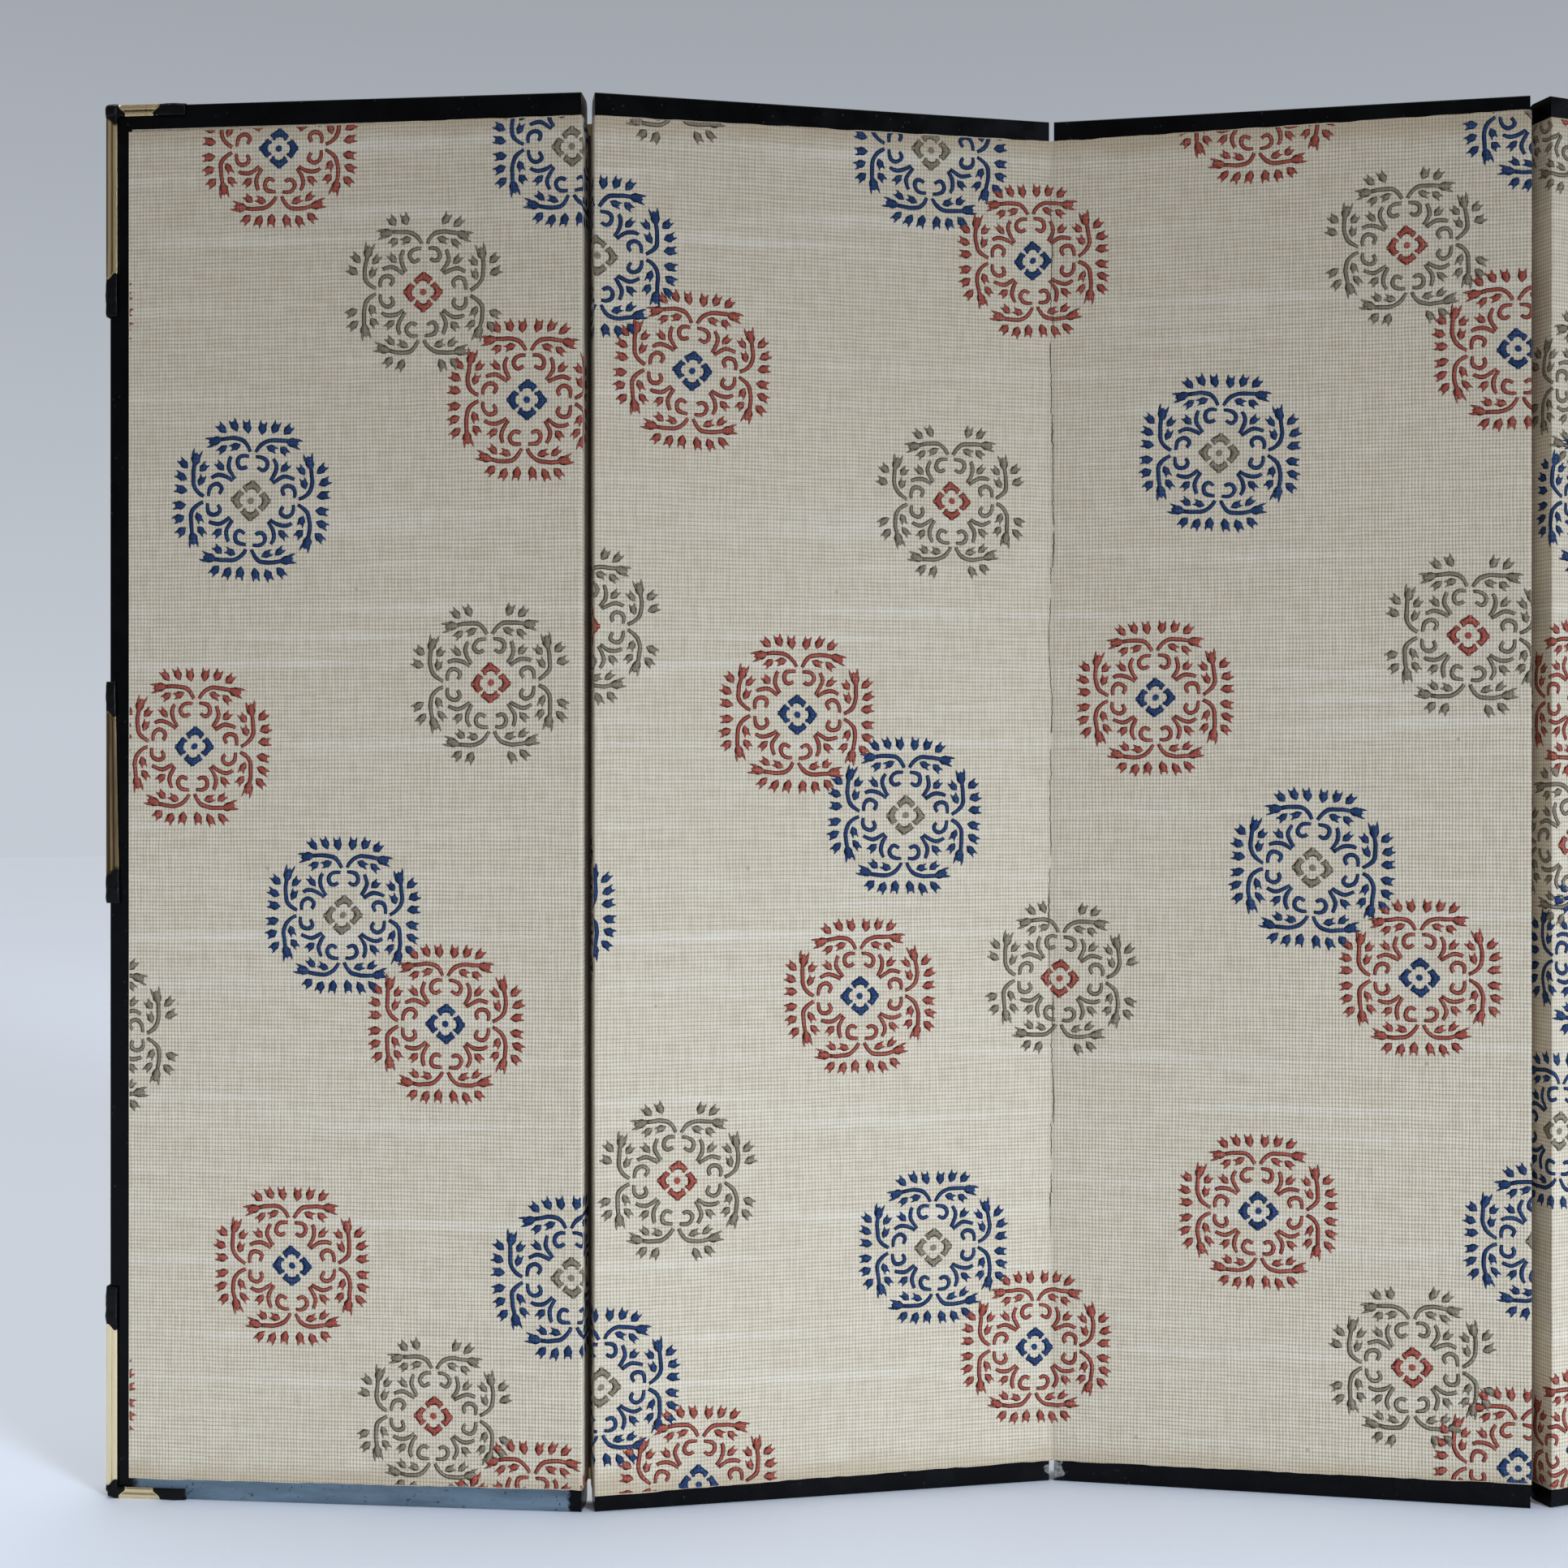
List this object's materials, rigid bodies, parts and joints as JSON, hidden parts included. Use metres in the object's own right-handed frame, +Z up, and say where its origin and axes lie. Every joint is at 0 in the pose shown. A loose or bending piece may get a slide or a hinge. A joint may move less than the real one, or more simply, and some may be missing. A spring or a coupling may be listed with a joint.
{
  "type": "folding screen",
  "caption": "Small tabletop folding screen that stands in a zigzag: cloth-backed panels in black lacquered frames, with reeded brass corner and edge fittings and cloth hinges.",
  "frame": {"origin": "under the middle of the standing screen's box, on the surface it stands on", "axes": "+Z up, +X along the row of panels from the first to the fourth, -Y towards the cloth-covered back faces"},
  "size_m": [0.4066, 0.0454, 0.3],
  "materials": {
    "printed_cloth": "plain slubbed weave with woven medallions",
    "leaf_paper": "paper laid with squares of metal leaf",
    "paperboard": "raw board",
    "softwood": "planed softwood",
    "bamboo": "split bamboo",
    "black_lacquer": "black gloss lacquer on wood, worn at the ends",
    "hinge_cloth": "plain woven tape",
    "stamped_brass": "stamped lengthwise reeds, tarnished, ends painted black",
    "tack_brass": "dull"
  },
  "bodies": {
    "panel_2": {"panel_2_back_board": "paperboard", "panel_2_batten_core": "softwood", "panel_2_bottom_rail": "black_lacquer", "panel_2_cloth_cover": "printed_cloth", "panel_2_crease_hinge_leaf": "hinge_cloth", "panel_2_frame_pins": "bamboo", "panel_2_front_board": "paperboard", "panel_2_paper_face": "leaf_paper", "panel_2_ridge_hinge_leaf": "hinge_cloth", "panel_2_top_rail": "black_lacquer"},
    "panel_1": {"panel_1_back_board": "paperboard", "panel_1_batten_core": "softwood", "panel_1_bottom_corner_fitting": "stamped_brass", "panel_1_bottom_rail": "black_lacquer", "panel_1_cloth_cover": "printed_cloth", "panel_1_fitting_tacks": "tack_brass", "panel_1_frame_pins": "bamboo", "panel_1_front_board": "paperboard", "panel_1_middle_fitting": "stamped_brass", "panel_1_paper_face": "leaf_paper", "panel_1_ridge_hinge_leaf": "hinge_cloth", "panel_1_stile": "black_lacquer", "panel_1_top_corner_fitting": "stamped_brass", "panel_1_top_rail": "black_lacquer"},
    "panel_3": {"panel_3_back_board": "paperboard", "panel_3_batten_core": "softwood", "panel_3_bottom_rail": "black_lacquer", "panel_3_cloth_cover": "printed_cloth", "panel_3_crease_hinge_leaf": "hinge_cloth", "panel_3_frame_pins": "bamboo", "panel_3_front_board": "paperboard", "panel_3_paper_face": "leaf_paper", "panel_3_ridge_hinge_leaf": "hinge_cloth", "panel_3_top_rail": "black_lacquer"},
    "panel_4": {"panel_4_back_board": "paperboard", "panel_4_batten_core": "softwood", "panel_4_bottom_corner_fitting": "stamped_brass", "panel_4_bottom_rail": "black_lacquer", "panel_4_cloth_cover": "printed_cloth", "panel_4_fitting_tacks": "tack_brass", "panel_4_frame_pins": "bamboo", "panel_4_front_board": "paperboard", "panel_4_middle_fitting": "stamped_brass", "panel_4_paper_face": "leaf_paper", "panel_4_ridge_hinge_leaf": "hinge_cloth", "panel_4_stile": "black_lacquer", "panel_4_top_corner_fitting": "stamped_brass", "panel_4_top_rail": "black_lacquer"}
  },
  "joints": [
    {"name": "ridge_1_2", "type": "hinge", "parent": "panel_2", "child": "panel_1", "pos_m": [-0.09894, -0.01506, 0.15], "axis": [0, 0, -1], "range_deg": [-15.7, 163.3]},
    {"name": "crease_2_3", "type": "hinge", "parent": "panel_2", "child": "panel_3", "pos_m": [0.00185, -0.00395, 0.15], "axis": [0, 0, -1], "range_deg": [-20.3, 158.7]},
    {"name": "ridge_3_4", "type": "hinge", "parent": "panel_3", "child": "panel_4", "pos_m": [0.10283, -0.01312, 0.15], "axis": [0, 0, 1], "range_deg": [-29.6, 143.4]}
  ]
}
